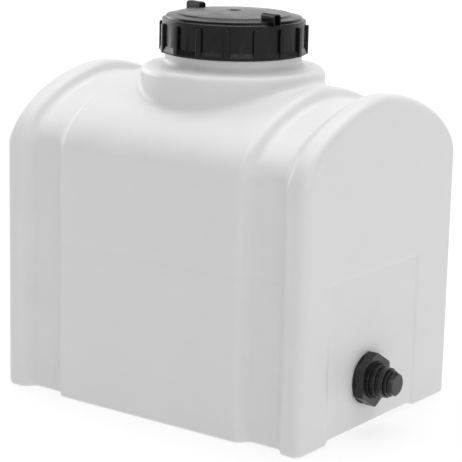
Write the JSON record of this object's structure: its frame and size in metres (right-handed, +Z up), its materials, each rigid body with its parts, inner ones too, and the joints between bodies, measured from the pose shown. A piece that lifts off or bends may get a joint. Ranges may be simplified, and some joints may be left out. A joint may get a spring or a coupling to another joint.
{
  "type": "fresh water tank",
  "caption": "Domed upright fresh water tank with strap recesses, a ribbed screw lid with a vent, and a plugged bulkhead fitting low on one end.",
  "frame": {"origin": "on the floor under the lid's axis, in the middle of the tank's flat underside", "axes": "+Z up along the lid's axis, +X along the tank's length towards the bulkhead fitting, Y across its width"},
  "size_m": [0.4428, 0.2992, 0.4362],
  "materials": {
    "tank_polyethylene": "natural rotationally moulded polyethylene, milky and slightly translucent, satin",
    "lid_polypropylene": "black moulded polypropylene, fine grain",
    "vent_plastic": "black moulded plastic, smooth",
    "fitting_polypropylene": "black moulded polypropylene, satin",
    "seal_rubber": "matte black rubber"
  },
  "bodies": {
    "tank": {"tank_shell": "tank_polyethylene", "bulkhead_body": "fitting_polypropylene", "inner_gasket": "seal_rubber", "outer_washer": "fitting_polypropylene", "bulkhead_nut": "fitting_polypropylene"},
    "lid_seal": {"lid_gasket": "seal_rubber"},
    "lid": {"lid": "lid_polypropylene"},
    "vent": {"vent_poppet": "vent_plastic", "vent_flap": "seal_rubber"},
    "plug_ring": {"plug_seal": "seal_rubber"},
    "plug": {"drain_plug": "fitting_polypropylene"}
  },
  "joints": [
    {"name": "lid_lift", "type": "slide", "parent": "tank", "child": "lid_seal", "axis": [0, 0, 1], "range_m": [0, 0.0301]},
    {"name": "lid_turn", "type": "hinge", "parent": "lid_seal", "child": "lid", "pos_m": [0, 0, 0.417], "axis": [0, 0, 1], "range_deg": [0, 1800]},
    {"name": "vent_lift", "type": "slide", "parent": "lid", "child": "vent", "axis": [0, 0, 1], "range_m": [0, 0.0025]},
    {"name": "plug_out", "type": "slide", "parent": "tank", "child": "plug_ring", "axis": [1, 0, 0], "range_m": [0, 0.0182]},
    {"name": "plug_turn", "type": "hinge", "parent": "plug_ring", "child": "plug", "pos_m": [0.2304, -0.0228, 0.058], "axis": [1, 0, 0], "range_deg": [0, 3600]}
  ],
  "couplings": [
    {"joint": "lid_lift", "follows": "lid_turn", "m_per_rad": 0.00095493},
    {"joint": "plug_out", "follows": "plug_turn", "m_per_rad": 0.00028871}
  ]
}
